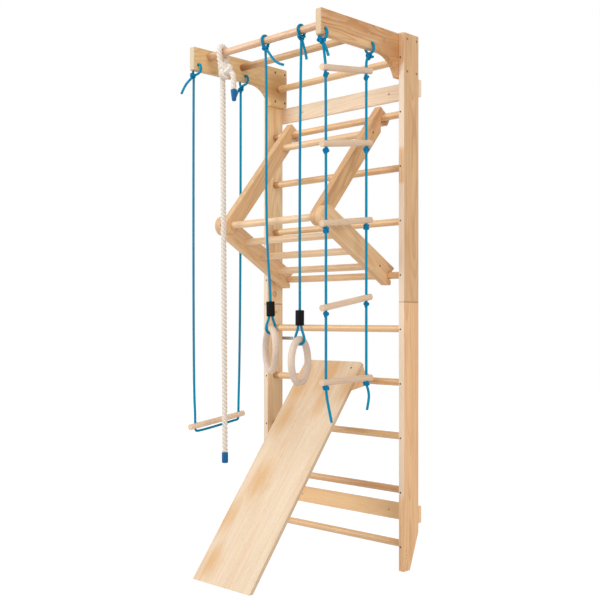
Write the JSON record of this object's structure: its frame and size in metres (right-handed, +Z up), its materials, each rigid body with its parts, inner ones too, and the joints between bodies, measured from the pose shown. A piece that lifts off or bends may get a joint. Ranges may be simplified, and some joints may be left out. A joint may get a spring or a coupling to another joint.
{
  "type": "climbing frame",
  "caption": "Wooden wall-bar climbing frame with overhead bars, hang-on bar unit, slide, trapeze, climbing rope, rings and a rope ladder.",
  "frame": {"origin": "on the floor, in the middle of the frame's width and of its depth from the wall planks' back faces to the slide's foot", "axes": "+Z up, +Y towards the wall, +X towards the upright on the right of someone facing the wall"},
  "size_m": [0.83, 0.781, 2.2094],
  "materials": {
    "pine": "satin",
    "slide_wood": "satin",
    "dowel_wood": "satin",
    "turned_wood": "satin",
    "blue_cord": "matt",
    "cream_rope": "matt",
    "blue_cap": "satin",
    "black_sleeve": "matt",
    "dark_screw": "satin",
    "steel": "satin"
  },
  "bodies": {
    "wall_ladder": {"left_upright_lower": "pine", "left_upright_upper": "pine", "right_upright_lower": "pine", "right_upright_upper": "pine", "upright_dowels": "dowel_wood", "wall_rung_01": "dowel_wood", "wall_rung_02": "dowel_wood", "wall_rung_03": "dowel_wood", "wall_rung_04": "dowel_wood", "wall_rung_05": "dowel_wood", "wall_rung_06": "dowel_wood", "wall_rung_07": "dowel_wood", "wall_rung_08": "dowel_wood", "wall_rung_09": "dowel_wood", "wall_rung_10": "dowel_wood", "upper_wall_plank": "pine", "lower_wall_plank": "pine", "wall_straps": "steel", "rung_lock_screws": "dark_screw", "back_screws": "dark_screw", "arm_bolts": "dark_screw", "arm_sleeve_nuts": "dark_screw", "left_arm": "pine", "right_arm": "pine", "front_bar": "dowel_wood", "middle_bar": "dowel_wood", "bar_screws": "dark_screw", "trapeze_hangers": "blue_cord", "ladder_hangers": "blue_cord"},
    "bar_unit": {"unit_left_upper_board": "pine", "unit_left_lower_board": "pine", "unit_right_upper_board": "pine", "unit_right_lower_board": "pine", "unit_apex_bar": "dowel_wood", "unit_upper_bar": "dowel_wood", "unit_lower_bar_1": "dowel_wood", "unit_lower_bar_2": "dowel_wood", "unit_lower_bar_3": "dowel_wood", "unit_screws": "dark_screw"},
    "slide": {"slide_board": "slide_wood", "slide_hook_left": "pine", "slide_hook_right": "pine", "slide_screws": "dark_screw"},
    "trapeze": {"trapeze_cord": "blue_cord", "trapeze_bar": "turned_wood"},
    "climbing_rope": {"climbing_rope": "cream_rope", "rope_end_cap": "blue_cap", "rope_tail_cap": "blue_cap"},
    "left_ring_cord": {"left_ring_cord": "blue_cord", "left_ring_sleeve": "black_sleeve"},
    "right_ring_cord": {"right_ring_cord": "blue_cord", "right_ring_sleeve": "black_sleeve"},
    "left_ring": {"left_ring_wood": "turned_wood"},
    "right_ring": {"right_ring_wood": "turned_wood"},
    "rope_ladder": {"ladder_front_cord": "blue_cord", "ladder_back_cord": "blue_cord", "ladder_rungs": "turned_wood"}
  },
  "joints": [
    {"name": "bar_unit_lift", "type": "hinge", "parent": "wall_ladder", "child": "bar_unit", "pos_m": [-0.014, 0.3235, 1.8796], "axis": [-1, 0, 0], "range_deg": [0, 2]},
    {"name": "slide_lift", "type": "hinge", "parent": "wall_ladder", "child": "slide", "pos_m": [0.043, 0.3235, 0.7676], "axis": [-1, 0, 0], "range_deg": [0, 30]},
    {"name": "trapeze_swing", "type": "hinge", "parent": "wall_ladder", "child": "trapeze", "pos_m": [-0.389, -0.03, 2.083], "axis": [0, 1, 0], "range_deg": [-2, 35]},
    {"name": "climbing_rope_swing", "type": "hinge", "parent": "wall_ladder", "child": "climbing_rope", "pos_m": [-0.26, -0.1035, 2.17], "axis": [-1, 0, 0], "range_deg": [0, 45]},
    {"name": "left_ring_swing", "type": "hinge", "parent": "wall_ladder", "child": "left_ring_cord", "pos_m": [-0.006, -0.1035, 2.17], "axis": [-1, 0, 0], "range_deg": [0, 40]},
    {"name": "right_ring_swing", "type": "hinge", "parent": "wall_ladder", "child": "right_ring_cord", "pos_m": [0.2, -0.1035, 2.17], "axis": [-1, 0, 0], "range_deg": [0, 40]},
    {"name": "rope_ladder_swing", "type": "hinge", "parent": "wall_ladder", "child": "rope_ladder", "pos_m": [0.373, -0.03, 2.083], "axis": [0, -1, 0], "range_deg": [-3, 35]},
    {"name": "left_ring_turn", "type": "hinge", "parent": "left_ring_cord", "child": "left_ring", "pos_m": [0.026, -0.1035, 0.906], "axis": [0.5, 0.866, 0], "continuous": true},
    {"name": "right_ring_turn", "type": "hinge", "parent": "right_ring_cord", "child": "right_ring", "pos_m": [0.191, -0.1035, 0.864], "axis": [0.9272, 0.3746, 0], "continuous": true}
  ]
}
